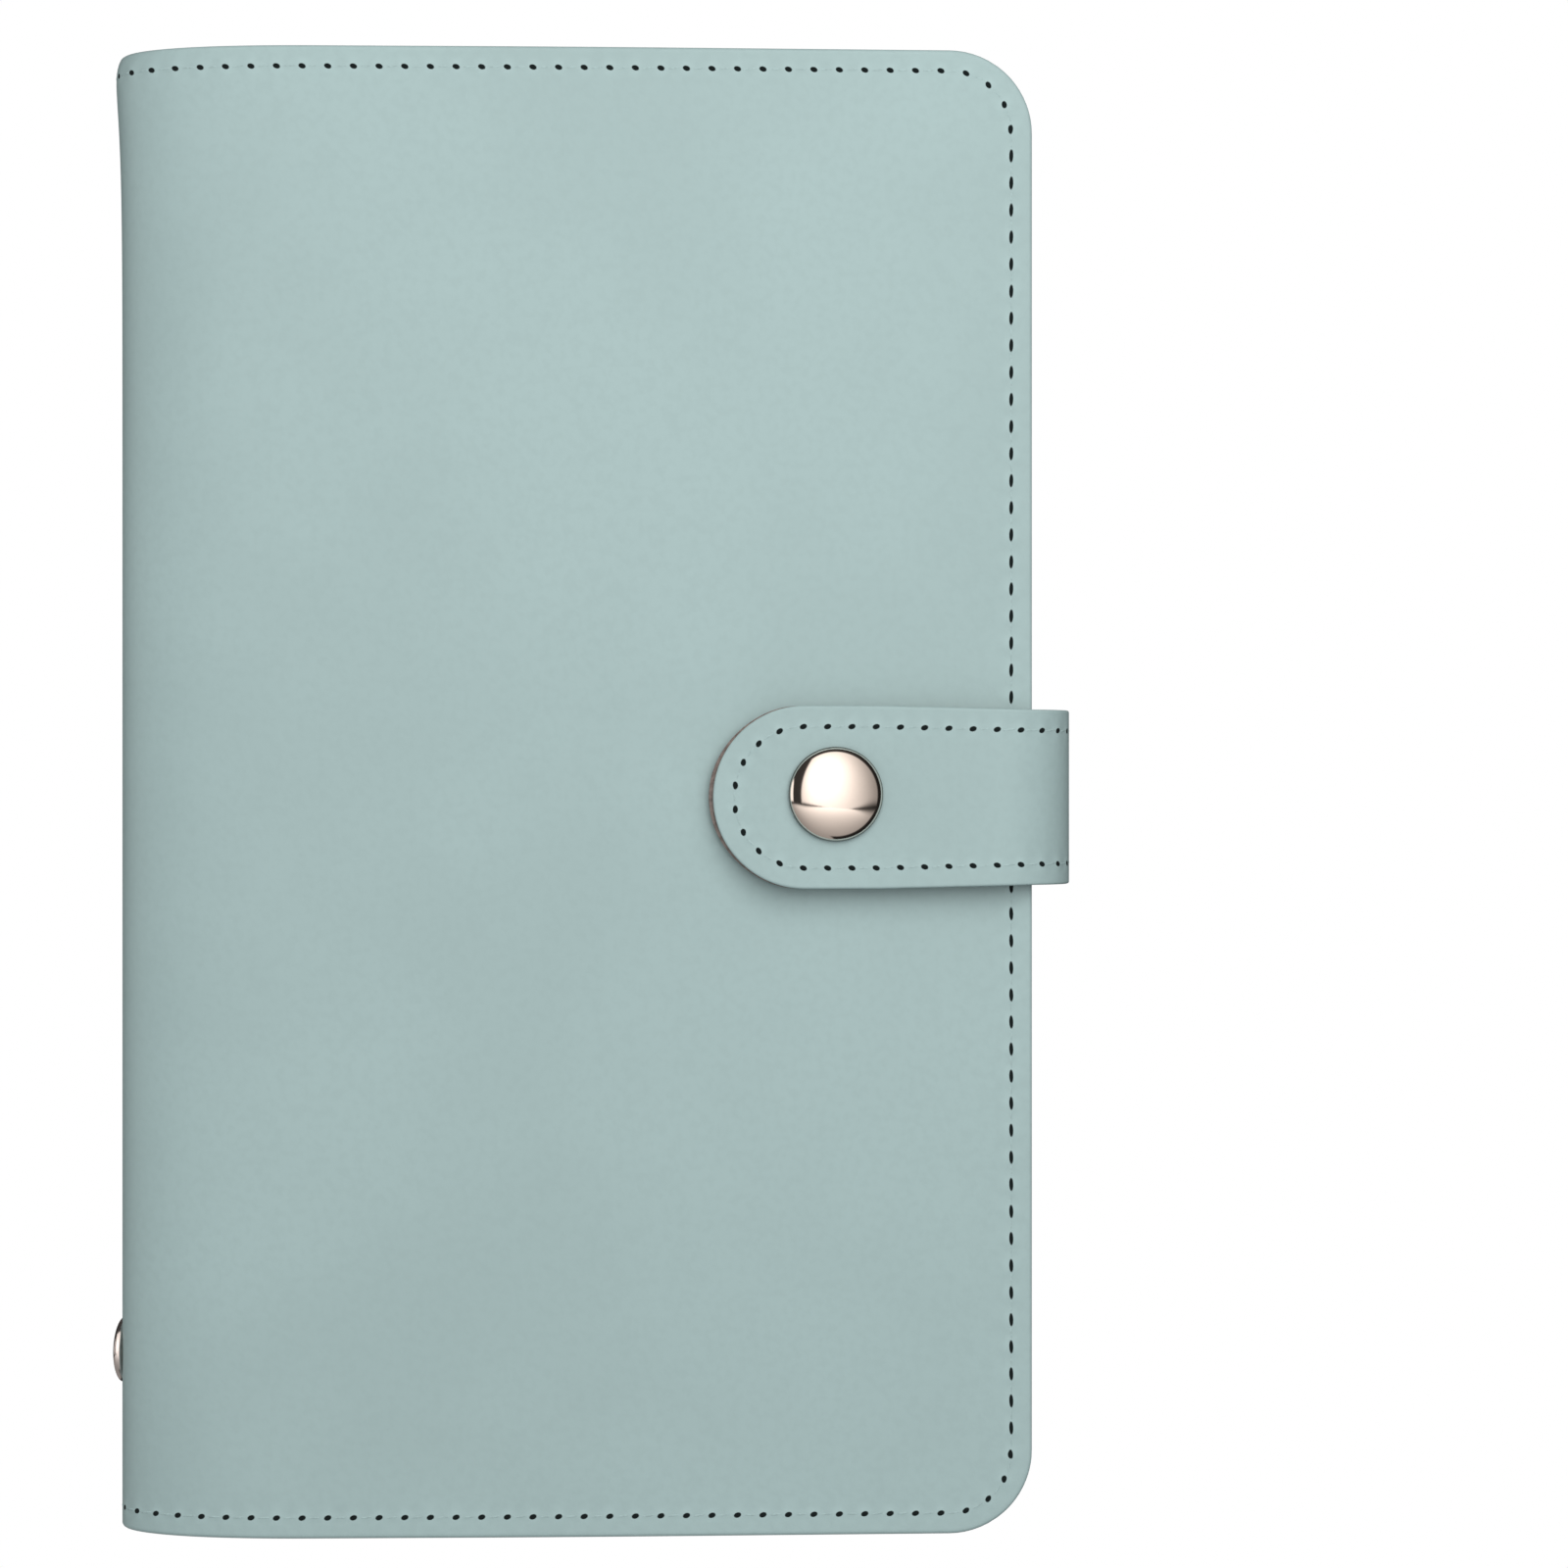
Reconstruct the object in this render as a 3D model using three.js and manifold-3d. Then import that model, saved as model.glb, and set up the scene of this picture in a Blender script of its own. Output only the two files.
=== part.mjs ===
// Cash envelope wallet, closed, lying on its back cover. Millimetres, +Z up.
// X runs from the spine to the fore edge, Y from the tail to the head of the covers.
import * as THREE from "three";
import { mergeVertices } from "three/addons/utils/BufferGeometryUtils.js";
import Module from "manifold-3d";

const wasm = await Module();
wasm.setup();

// Covers
const coverWidth = 117.1;
const coverHeight = 189.6;
const crownHeight = 23;
const foreCornerRadius = 11.6;
const skinThickness = 1.3;
const liningThickness = 0.7;
const bondGap = 0.1;

// Spine, a soft half round that runs on into the two covers
const spineReachFront = 26;
const spineReachBack = 22;
const spineFullness = 2.3;

// The front cover is level up to its crown line, then falls towards the fore edge
const crownEnd = 46;
const fallBlend = 26;
const fallSlope = 0.0263;

// Front cover's hinge line
const hingeInset = 8;
const hingeSlit = 0.2;

// Envelope book and the strip that binds it
const leafCount = 24;
const leafShare = 0.66;
const bookHeight = 180;
const bookForeInset = 10;
const bookCornerRadius = 6;
const bookSeat = 0.3;
const boundEdgeWidth = 4;
const binderDepth = 9.2;
const binderWidth = 13;
const binderLength = 186;
const binderClearance = 0.2;
const bookToBinder = 0.3;

// Rivets that hold the binder strip to the spine
const rivetDiameter = 8.4;
const rivetRim = 0.6;
const rivetDome = 0.9;
const rivetSink = 0.45;
const rivetPostDiameter = 2.6;
const rivetPostLength = 5.6;
const rivetClearance = 0.1;
const tailRivetFromTail = 22.4;
const tailRivetHeight = 9.8;
const headRivetFromHead = 22.4;
const headRivetHeight = 3.6;

// Strap
const strapOffset = -0.68;
const strapWidth = 23.2;
const strapFoldWidth = 22.3;
const strapTaperLength = 20;
const strapOuterThickness = 1.1;
const strapLiningThickness = 0.7;
const strapReach = 5.5;
const strapBendRadius = 4;
const strapShoulderRadius = 9.5;
const strapFloorGap = 0.1;
const strapEdgeGap = 0.25;
const strapTipProud = 0.5;
const strapRise = 2.1;
const strapTipRise = 0.9;
const strapTipDroopLength = 10;
const strapOverrun = 1;
const tongueDepth = 9;
const tongueThickness = 0.55;
const tongueClearance = 0.1;

// Snap fastener
const snapInset = 25.45;
const snapOffset = -0.28;
const snapToTip = 15.9;
const capDiameter = 12;
const capRim = 0.7;
const capDome = 1.7;
const capChamfer = 0.3;
const capPostDiameter = 2.8;
const socketDiameter = 9.5;
const socketHeight = 1.3;
const socketWeb = 0.45;
const socketBore = 4.4;
const studFlangeDiameter = 9;
const studFlangeThickness = 0.45;
const studKnobDiameter = 3.6;
const studNeckDiameter = 3.06;
const studTopDiameter = 3.24;
const studKnobHeight = 0.85;
const studBulgeHeight = 0.51;
const studPostDiameter = 2.6;
const backingDiameter = 7.2;
const backingThickness = 0.5;
const snapSeat = 0.05;
const snapClearance = 0.1;

// Curve fineness
const bendSteps = 14;
const noseSteps = 22;
const roundSegments = 40;
const cornerSegments = 12;
const leafSteps = 3;
const fallSteps = 5;
const capSteps = 10;
const rivetSteps = 8;

// Worked out from the sizes above
const coverThickness = skinThickness + bondGap + liningThickness;
const strapThickness = strapOuterThickness + bondGap + strapLiningThickness;
const halfCrown = crownHeight / 2;
const snapX = coverWidth - snapInset;
const tipX = snapX - snapToTip;
const tipCentreX = tipX + strapWidth / 2;
const strapBendX = coverWidth + strapReach - strapBendRadius;
const strapShoulderX = coverWidth + strapReach - strapShoulderRadius;

const leather = material("#a5bebc", 0.55, 0);
const lining = material("#9db5b3", 0.7, 0);
const clearFilm = material("#e6eceb", 0.35, 0);
const binderPlastic = material("#8fa6a4", 0.6, 0);
const strapLeather = material("#a3bcba", 0.55, 0);
const strapBacking = material("#96827d", 0.75, 0);
const roseMetal = material("#d9c8bc", 0.2, 1);
const nickel = material("#b9b1ae", 0.25, 1);

const group = new THREE.Group();

addCovers();
addBook();
addRivets();
addStrap();
addSnap();
centreOnFloor();

export default group;

function material(color, roughness, metalness) {
  return new THREE.MeshStandardMaterial({ color, roughness, metalness });
}

// Height of the front cover's outer face at x, past the spine's curve
function frontFaceHeight(x) {
  if (x <= crownEnd) return crownHeight;
  const blendEnd = crownEnd + fallBlend;
  if (x <= blendEnd) return crownHeight - (fallSlope / (2 * fallBlend)) * (x - crownEnd) ** 2;
  return crownHeight - (fallSlope * fallBlend) / 2 - fallSlope * (x - blendEnd);
}

// Point of the spine's curve: turn runs from -90 degrees at the back cover to 90 at the front
function spinePoint(turn) {
  const reach = turn < 0 ? spineReachBack : spineReachFront;
  const power = 2 / spineFullness;
  const x = reach * (1 - Math.abs(Math.cos(turn)) ** power);
  const z = halfCrown + Math.sign(turn) * halfCrown * Math.abs(Math.sin(turn)) ** power;
  return new THREE.Vector2(x, z);
}

// Outer face of the covers, from the back cover's fore edge (0) round the spine to the front's (5)
function coverPoint(u) {
  if (u <= 1) return new THREE.Vector2(THREE.MathUtils.lerp(coverWidth, spineReachBack, u), 0);
  if (u <= 3) return spinePoint(((u - 2) * Math.PI) / 2);
  if (u <= 4) {
    return new THREE.Vector2(THREE.MathUtils.lerp(spineReachFront, crownEnd, u - 3), crownHeight);
  }
  const x = THREE.MathUtils.lerp(crownEnd, coverWidth, u - 4);
  return new THREE.Vector2(x, frontFaceHeight(x));
}

// Place along the cover's outer face of a height on the spine
function coverPlaceAtHeight(z) {
  const share = (Math.abs(z - halfCrown) / halfCrown) ** (spineFullness / 2);
  return 2 + (Math.sign(z - halfCrown) * Math.asin(share)) / (Math.PI / 2);
}

// Place along the cover's outer face of an x on the upper half of the spine
function coverPlaceAtX(x) {
  const share = (1 - x / spineReachFront) ** (spineFullness / 2);
  return 2 + Math.acos(share) / (Math.PI / 2);
}

// Height of the strap's underside above the front cover at x
function strapRiseAt(x) {
  const droop = THREE.MathUtils.clamp((tipX + strapTipDroopLength - x) / strapTipDroopLength, 0, 1);
  const share = (1 - Math.cos(Math.PI * droop)) / 2;
  return strapRise - (strapRise - strapTipRise) * share;
}

function strapTopHeight(x) {
  return frontFaceHeight(x) + strapRiseAt(x) + strapThickness;
}

// Outer face of the strap, from the seam (0) round the fore edge and over the cover to the tip (5)
function strapPoint(v) {
  const lowerCentreZ = strapFloorGap + strapBendRadius;
  const endTurn = Math.PI / 2 - Math.atan(fallSlope);
  const tabStartX = strapShoulderX + strapShoulderRadius * Math.cos(endTurn);
  const upperCentreZ = strapTopHeight(tabStartX) - strapShoulderRadius * Math.sin(endTurn);
  if (v <= 1) {
    const x = THREE.MathUtils.lerp(coverWidth + strapEdgeGap, strapBendX, v);
    return new THREE.Vector2(x, strapFloorGap);
  }
  if (v <= 2) return arcPoint(strapBendX, lowerCentreZ, strapBendRadius, ((v - 2) * Math.PI) / 2);
  if (v <= 3) {
    const z = THREE.MathUtils.lerp(lowerCentreZ, upperCentreZ, v - 2);
    return new THREE.Vector2(strapBendX + strapBendRadius, z);
  }
  if (v <= 4) return arcPoint(strapShoulderX, upperCentreZ, strapShoulderRadius, (v - 3) * endTurn);
  const x = THREE.MathUtils.lerp(tabStartX, tipX - strapOverrun, v - 4);
  return new THREE.Vector2(x, strapTopHeight(x));
}

function arcPoint(centreX, centreZ, radius, turn) {
  return new THREE.Vector2(centreX + radius * Math.cos(turn), centreZ + radius * Math.sin(turn));
}

// Unit vector from a curve's outer face inwards, side is 1 for a curve walked anticlockwise
function inward(curve, place, side) {
  const step = 1e-4;
  const along = curve(place + step).sub(curve(place - step)).normalize();
  return new THREE.Vector2(-along.y * side, along.x * side);
}

function offsetPoint(curve, place, side, depth) {
  return curve(place).addScaledVector(inward(curve, place, side), depth);
}

// Closed outline of a layer that follows a curve between two depths
function layerOutline(curve, places, side, depthOut, depthIn) {
  const outer = places.map((place) => offsetPoint(curve, place, side, depthOut));
  const inner = places.map((place) => offsetPoint(curve, place, side, depthIn));
  return [...outer, ...inner.reverse()];
}

function placesBetween(from, to, steps) {
  return Array.from({ length: steps + 1 }, (_, i) => THREE.MathUtils.lerp(from, to, i / steps));
}

// Half of the hinge slit, as a step along the curve
function slitStep(curve, place) {
  const step = 1e-3;
  const speed = curve(place + step).distanceTo(curve(place - step)) / (2 * step);
  return hingeSlit / 2 / speed;
}

// Solid of an X-Z outline, run along Y about its middle
function acrossY(outline, length, middle = 0) {
  const shape = new THREE.Shape(outline);
  const geometry = new THREE.ExtrudeGeometry(shape, { depth: length, bevelEnabled: false });
  geometry.rotateX(Math.PI / 2);
  geometry.translate(0, middle + length / 2, 0);
  return solid(geometry);
}

// Solid of an X-Y shape, standing from below the floor to above the wallet
function standing(shape) {
  const reach = 2 * crownHeight;
  const geometry = new THREE.ExtrudeGeometry(shape, {
    depth: 2 * reach,
    bevelEnabled: false,
    curveSegments: cornerSegments,
  });
  geometry.translate(0, 0, -reach);
  return solid(geometry);
}

// Solid turned about Z from radius and height pairs
function turned(profile) {
  const points = profile.map(([radius, height]) => new THREE.Vector2(radius, height));
  const geometry = new THREE.LatheGeometry(points, roundSegments);
  geometry.rotateX(Math.PI / 2);
  return solid(geometry);
}

function solid(geometry) {
  const bare = geometry.clone();
  bare.deleteAttribute("normal");
  bare.deleteAttribute("uv");
  const merged = mergeVertices(bare, 1e-5);
  const made = new wasm.Manifold(
    new wasm.Mesh({
      numProp: 3,
      vertProperties: new Float32Array(merged.attributes.position.array),
      triVerts: new Uint32Array(merged.index.array),
    }),
  );
  return made.volume() < 0 ? reversed(merged) : made;
}

function reversed(geometry) {
  const index = Array.from(geometry.index.array);
  for (let i = 0; i < index.length; i += 3) [index[i], index[i + 1]] = [index[i + 1], index[i]];
  return new wasm.Manifold(
    new wasm.Mesh({
      numProp: 3,
      vertProperties: new Float32Array(geometry.attributes.position.array),
      triVerts: new Uint32Array(index),
    }),
  );
}

function add(name, shape, look) {
  const mesh = shape.getMesh();
  const geometry = new THREE.BufferGeometry();
  geometry.setAttribute("position", new THREE.BufferAttribute(mesh.vertProperties, 3));
  geometry.setIndex(new THREE.BufferAttribute(mesh.triVerts, 1));
  geometry.computeVertexNormals();
  const node = new THREE.Mesh(geometry, look);
  node.name = name;
  group.add(node);
}

// Solid moved so that its +Z points along an X-Z direction at a point
function placed(shape, x, y, z, direction) {
  const turn = Math.atan2(direction.x, direction.y);
  const matrix = new THREE.Matrix4().makeRotationY(turn).setPosition(x, y, z);
  return shape.transform(matrix.elements);
}

// Plan of the covers, square at the spine and round at the fore edge
function coverPlan(height, foreX, radius) {
  const half = height / 2;
  const shape = new THREE.Shape();
  shape.moveTo(-coverWidth, -half);
  shape.lineTo(foreX - radius, -half);
  shape.absarc(foreX - radius, -half + radius, radius, -Math.PI / 2, 0, false);
  shape.lineTo(foreX, half - radius);
  shape.absarc(foreX - radius, half - radius, radius, 0, Math.PI / 2, false);
  shape.lineTo(-coverWidth, half);
  shape.closePath();
  return standing(shape);
}

function addCovers() {
  const plan = coverPlan(coverHeight, coverWidth, foreCornerRadius);
  const hinge = coverPlaceAtX(hingeInset);
  const slit = slitStep(coverPoint, hinge);
  const frontPlaces = [
    ...placesBetween(hinge + slit, 3, noseSteps / 2),
    4,
    ...placesBetween(4, 4 + fallBlend / (coverWidth - crownEnd), fallSteps).slice(1),
    5,
  ];
  const backPlaces = [0, ...placesBetween(1, hinge - slit, noseSteps)];
  const layer = (places, depthOut, depthIn) =>
    acrossY(layerOutline(coverPoint, places, -1, depthOut, depthIn), coverHeight).intersect(plan);
  const liningDepth = skinThickness + bondGap;

  const frontSkin = layer(frontPlaces, 0, skinThickness).subtract(studHole());
  add("front_cover_skin", frontSkin, leather);
  add("front_cover_lining", layer(frontPlaces, liningDepth, coverThickness), lining);

  let backSkin = layer(backPlaces, 0, skinThickness).subtract(tonguePocket());
  let backLining = layer(backPlaces, liningDepth, coverThickness);
  for (const hole of rivetHoles()) {
    backSkin = backSkin.subtract(hole);
    backLining = backLining.subtract(hole);
  }
  add("back_cover_skin", backSkin, leather);
  add("back_cover_lining", backLining, lining);
}

// Height inside the lining at x, less a gap, on the back cover's or the front cover's side
function innerHeight(x, front, gap) {
  const from = front ? 5 : 0;
  const depth = coverThickness + gap;
  const at = (place) => offsetPoint(coverPoint, THREE.MathUtils.clamp(place, 1e-3, 5 - 1e-3), -1, depth);
  let low = front ? 2 : from;
  let high = front ? from : 2;
  for (let i = 0; i < 40; i += 1) {
    const middle = (low + high) / 2;
    const beyond = at(middle).x < x;
    if (beyond === front) low = middle;
    else high = middle;
  }
  return at((low + high) / 2).y;
}

// Envelopes as one comb: a bound edge at the spine and one leaf for each ply of film
function addBook() {
  const boundX = binderDepth + bookToBinder;
  const leafStartX = boundX + boundEdgeWidth;
  const foreX = coverWidth - bookForeInset;
  const stations = [
    ...placesBetween(leafStartX, spineReachBack, leafSteps),
    spineReachFront,
    crownEnd,
    crownEnd + fallBlend,
    foreX,
  ];
  const leafHeight = (x, level) => {
    const low = innerHeight(x, false, bookSeat);
    return THREE.MathUtils.lerp(low, innerHeight(x, true, bookSeat), level);
  };
  const outline = [new THREE.Vector2(boundX, leafHeight(boundX, 0))];
  for (let leaf = 0; leaf < leafCount; leaf += 1) {
    const spare = leaf === leafCount - 1 ? 1 : leafShare;
    const under = leaf / leafCount;
    const over = (leaf + spare) / leafCount;
    stations.forEach((x) => outline.push(new THREE.Vector2(x, leafHeight(x, under))));
    [...stations].reverse().forEach((x) => outline.push(new THREE.Vector2(x, leafHeight(x, over))));
  }
  outline.push(new THREE.Vector2(boundX, leafHeight(boundX, 1)));
  const plan = coverPlan(bookHeight, foreX, bookCornerRadius);
  add("envelope_book", acrossY(outline, bookHeight).intersect(plan), clearFilm);

  const stripReach = binderWidth / 2 + coverThickness;
  const strip = placesBetween(
    coverPlaceAtHeight(halfCrown - stripReach),
    coverPlaceAtHeight(halfCrown + stripReach),
    noseSteps,
  ).map((place) => offsetPoint(coverPoint, place, -1, coverThickness + binderClearance));
  const stripOutline = [
    ...strip,
    new THREE.Vector2(binderDepth, strip[noseSteps].y),
    new THREE.Vector2(binderDepth, strip[0].y),
  ];
  let binder = acrossY(stripOutline, binderLength).intersect(binderEnds());
  for (const hole of rivetHoles()) binder = binder.subtract(hole);
  add("spine_binder", binder, binderPlastic);
}

// Side view of the binder strip, with its half-round ends
function binderEnds() {
  const radius = binderWidth / 2;
  const straight = binderLength / 2 - radius;
  const shape = new THREE.Shape();
  shape.absarc(straight, 0, radius, -Math.PI / 2, Math.PI / 2, false);
  shape.absarc(-straight, 0, radius, Math.PI / 2, (3 * Math.PI) / 2, false);
  shape.closePath();
  const geometry = new THREE.ExtrudeGeometry(shape, {
    depth: 2 * binderDepth,
    bevelEnabled: false,
    curveSegments: cornerSegments,
  });
  geometry.rotateX(Math.PI / 2);
  geometry.rotateZ(Math.PI / 2);
  geometry.translate(0, 0, halfCrown);
  return solid(geometry);
}

function rivetPlaces() {
  return [
    { name: "tail_rivet", y: -coverHeight / 2 + tailRivetFromTail, height: tailRivetHeight },
    { name: "head_rivet", y: coverHeight / 2 - headRivetFromHead, height: headRivetHeight },
  ];
}

// Solid made about Z, set on the spine with its +Z along the outward normal there
function onSpine(shape, { y, height }) {
  const place = coverPlaceAtHeight(height);
  const at = coverPoint(place);
  const outward = inward(coverPoint, place, -1).negate();
  return placed(shape, at.x, y, at.y, outward);
}

function rivetHoles() {
  const radius = rivetDiameter / 2 + rivetClearance;
  const post = rivetPostDiameter / 2 + rivetClearance;
  const floor = -rivetSink - rivetClearance / 2;
  const hole = turned([
    [0, -rivetPostLength - rivetClearance],
    [post, -rivetPostLength - rivetClearance],
    [post, floor],
    [radius, floor],
    [radius, rivetRim + rivetDome],
    [0, rivetRim + rivetDome],
  ]);
  return rivetPlaces().map((place) => onSpine(hole, place));
}

function domeProfile(radius, base, dome, steps) {
  const points = [];
  for (let i = 0; i <= steps; i += 1) {
    const turn = (i / steps) * (Math.PI / 2);
    points.push([radius * Math.cos(turn), base + dome * Math.sin(turn)]);
  }
  points[steps][0] = 0;
  return points;
}

function addRivets() {
  const radius = rivetDiameter / 2;
  const post = rivetPostDiameter / 2;
  const rivet = turned([
    [0, -rivetPostLength],
    [post, -rivetPostLength],
    [post, -rivetSink],
    [radius, -rivetSink],
    ...domeProfile(radius, rivetRim - rivetSink, rivetDome, rivetSteps),
  ]);
  for (const place of rivetPlaces()) add(place.name, onSpine(rivet, place), nickel);
}

// Plan of the strap, with its tip's centre at x
function strapPlan(centreX) {
  const half = strapWidth / 2;
  const foldHalf = strapFoldWidth / 2;
  const endX = coverWidth + 2 * strapReach;
  const shape = new THREE.Shape();
  shape.moveTo(endX, strapOffset - foldHalf);
  shape.lineTo(endX, strapOffset + foldHalf);
  shape.lineTo(coverWidth, strapOffset + foldHalf);
  shape.lineTo(coverWidth - strapTaperLength, strapOffset + half);
  shape.absarc(centreX, strapOffset, half, Math.PI / 2, (3 * Math.PI) / 2, false);
  shape.lineTo(coverWidth - strapTaperLength, strapOffset - half);
  shape.lineTo(coverWidth, strapOffset - foldHalf);
  shape.closePath();
  return standing(shape);
}

// Box between two corners
function block(low, high) {
  const size = new THREE.Vector3().subVectors(high, low);
  const geometry = new THREE.BoxGeometry(size.x, size.y, size.z);
  geometry.translate(low.x + size.x / 2, low.y + size.y / 2, low.z + size.z / 2);
  return solid(geometry);
}

// Tongue of the strap that is let into the back cover's seam
function tongueBlock(clearance) {
  const half = strapFoldWidth / 2 + clearance;
  const top = skinThickness - tongueClearance / 2;
  const low = new THREE.Vector3(
    coverWidth - tongueDepth - clearance,
    strapOffset - half,
    top - tongueThickness - clearance,
  );
  const outX = coverWidth + 2 * strapEdgeGap;
  const topZ = clearance > 0 ? skinThickness + bondGap : top;
  return block(low, new THREE.Vector3(outX, strapOffset + half, topZ));
}

function tonguePocket() {
  return tongueBlock(tongueClearance);
}

function addStrap() {
  const liningPlan = strapPlan(tipCentreX);
  const outerPlan = strapPlan(tipCentreX + strapTipProud);
  const lowerSplit = 1.5;
  const upperSplit = 3.5;
  const lowerSlit = slitStep(strapPoint, lowerSplit);
  const upperSlit = slitStep(strapPoint, upperSplit);
  const rootPlaces = [0, ...placesBetween(1, lowerSplit - lowerSlit, bendSteps / 2)];
  const foldPlaces = [
    ...placesBetween(lowerSplit + lowerSlit, 2, bendSteps / 2),
    ...placesBetween(3, upperSplit - upperSlit, bendSteps / 2),
  ];
  const tabPlaces = [
    ...placesBetween(upperSplit + upperSlit, 4, bendSteps / 2),
    ...placesBetween(4, 5, 2 * bendSteps).slice(1),
  ];
  const layer = (places, depthOut, depthIn, plan) =>
    acrossY(layerOutline(strapPoint, places, 1, depthOut, depthIn), strapWidth, strapOffset).intersect(plan);
  const liningDepth = strapOuterThickness + bondGap;
  const snapHole = onCover(capPostHole());

  const lip = layer(rootPlaces, 0, strapThickness, liningPlan);
  add("strap_root", lip.add(tongueBlock(0)), strapLeather);
  add("strap_fold_outer", layer(foldPlaces, 0, strapOuterThickness, outerPlan), strapLeather);
  add("strap_fold_lining", layer(foldPlaces, liningDepth, strapThickness, liningPlan), strapBacking);
  const tabOuter = layer(tabPlaces, 0, strapOuterThickness, outerPlan).subtract(snapHole);
  const tabLining = layer(tabPlaces, liningDepth, strapThickness, liningPlan).subtract(snapHole);
  add("strap_tab_outer", tabOuter, strapLeather);
  add("strap_tab_lining", tabLining, strapBacking);
}

// Solid made about Z, set on the front cover at the snap with its +Z along the cover's normal
function onCover(shape) {
  const normal = new THREE.Vector2(fallSlope, 1).normalize();
  return placed(shape, snapX, snapOffset, frontFaceHeight(snapX), normal);
}

function ring(outer, inner, low, high) {
  return turned([
    [inner, low],
    [outer, low],
    [outer, high],
    [inner, high],
    [inner, low],
  ]);
}

function plug(radius, low, high) {
  return turned([
    [0, low],
    [radius, low],
    [radius, high],
    [0, high],
  ]);
}

// Hole in the front cover's skin for the stud's post, and the recess for its backing washer
function studHole() {
  const post = plug(studPostDiameter / 2 + snapClearance, -2 * skinThickness, skinThickness);
  const recessTop = -skinThickness + backingThickness + snapSeat;
  const recess = plug(backingDiameter / 2 + snapClearance, -2 * skinThickness, recessTop);
  return onCover(post.add(recess));
}

function capPostHole() {
  return plug(capPostDiameter / 2 + snapClearance, 0, strapRise + 2 * strapThickness);
}

function addSnap() {
  const socketTop = strapRise - snapClearance;
  const socketLow = socketTop - socketHeight;
  const webLow = socketTop - socketWeb;
  const flangeTop = snapSeat + studFlangeThickness;
  const post = studPostDiameter / 2;
  const postLow = -skinThickness + snapSeat;

  const stud = turned([
    [0, postLow],
    [post, postLow],
    [post, snapSeat],
    [studFlangeDiameter / 2, snapSeat],
    [studFlangeDiameter / 2, flangeTop],
    [studNeckDiameter / 2, flangeTop],
    [studKnobDiameter / 2, flangeTop + studBulgeHeight],
    [studTopDiameter / 2, flangeTop + studKnobHeight],
    [0, flangeTop + studKnobHeight],
  ]);
  add("snap_stud", onCover(stud), nickel);

  const backingLow = -skinThickness + snapSeat;
  const backing = ring(
    backingDiameter / 2,
    post + snapClearance,
    backingLow,
    backingLow + backingThickness - snapSeat,
  );
  add("snap_backing", onCover(backing), nickel);

  const socket = turned([
    [socketBore / 2, socketLow],
    [socketDiameter / 2, socketLow],
    [socketDiameter / 2, socketTop],
    [capPostDiameter / 2 + snapClearance, socketTop],
    [capPostDiameter / 2 + snapClearance, webLow],
    [socketBore / 2, webLow],
    [socketBore / 2, socketLow],
  ]);
  add("snap_socket", onCover(socket), nickel);

  const capBase = strapRise + strapThickness + snapSeat;
  const cap = turned([
    [0, webLow + snapSeat],
    [capPostDiameter / 2, webLow + snapSeat],
    [capPostDiameter / 2, capBase],
    [capDiameter / 2 - capChamfer, capBase],
    [capDiameter / 2, capBase + capChamfer],
    ...domeProfile(capDiameter / 2, capBase + capRim, capDome, capSteps),
  ]);
  add("snap_cap", onCover(cap), roseMetal);
}

// The origin is under the middle of everything, on the floor
function centreOnFloor() {
  const box = new THREE.Box3().setFromObject(group);
  group.position.x = -(box.min.x + box.max.x) / 2;
  group.updateMatrixWorld(true);
}
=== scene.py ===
# Looks of the closed cash envelope wallet, seen from straight above.
import math
from functools import partial

import bpy
import numpy as np
from mathutils import Matrix, Vector


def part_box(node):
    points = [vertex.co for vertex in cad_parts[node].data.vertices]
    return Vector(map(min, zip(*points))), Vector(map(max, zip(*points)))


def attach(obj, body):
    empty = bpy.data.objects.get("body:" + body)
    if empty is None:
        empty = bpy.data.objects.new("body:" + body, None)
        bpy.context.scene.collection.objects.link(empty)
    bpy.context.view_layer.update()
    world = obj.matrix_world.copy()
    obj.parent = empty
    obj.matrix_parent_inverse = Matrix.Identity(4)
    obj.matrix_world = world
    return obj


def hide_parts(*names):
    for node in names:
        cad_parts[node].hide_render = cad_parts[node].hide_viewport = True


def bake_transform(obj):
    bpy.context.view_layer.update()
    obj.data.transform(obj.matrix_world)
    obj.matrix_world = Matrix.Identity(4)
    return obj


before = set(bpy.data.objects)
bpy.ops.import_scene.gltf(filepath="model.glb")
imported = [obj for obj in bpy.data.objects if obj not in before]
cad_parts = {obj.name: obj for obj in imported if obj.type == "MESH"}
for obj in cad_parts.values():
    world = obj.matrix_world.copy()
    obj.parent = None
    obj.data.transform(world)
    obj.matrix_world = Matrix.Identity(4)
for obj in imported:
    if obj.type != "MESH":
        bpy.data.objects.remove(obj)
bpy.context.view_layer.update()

MM = 0.001

# Sizes of the covers, in millimetres as the CAD has them
COVER_WIDTH = 117.1
COVER_HEIGHT = 189.6
CROWN_HEIGHT = 23.0
FORE_CORNER_RADIUS = 10.6  # as in the photograph, a little under the CAD's
SKIN_THICKNESS = 1.3
LINING_THICKNESS = 0.7
BOND_GAP = 0.1
SPINE_REACH_FRONT = 26.0
SPINE_REACH_BACK = 22.0
SPINE_FULLNESS = 2.3
CROWN_END = 46.0
FALL_BLEND = 26.0
FALL_SLOPE = 0.0263
HINGE_INSET = 8.0
SKIN_EDGE_RADIUS = 0.5
LINING_EDGE_RADIUS = 0.3

# The spine's head end stands out: how far, how soon from the head, over what length and depth
SPINE_FLARE = 1.5
FLARE_ONSET = 2.2
FLARE_LENGTH = 8.0
FLARE_REACH = 9.0

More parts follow.
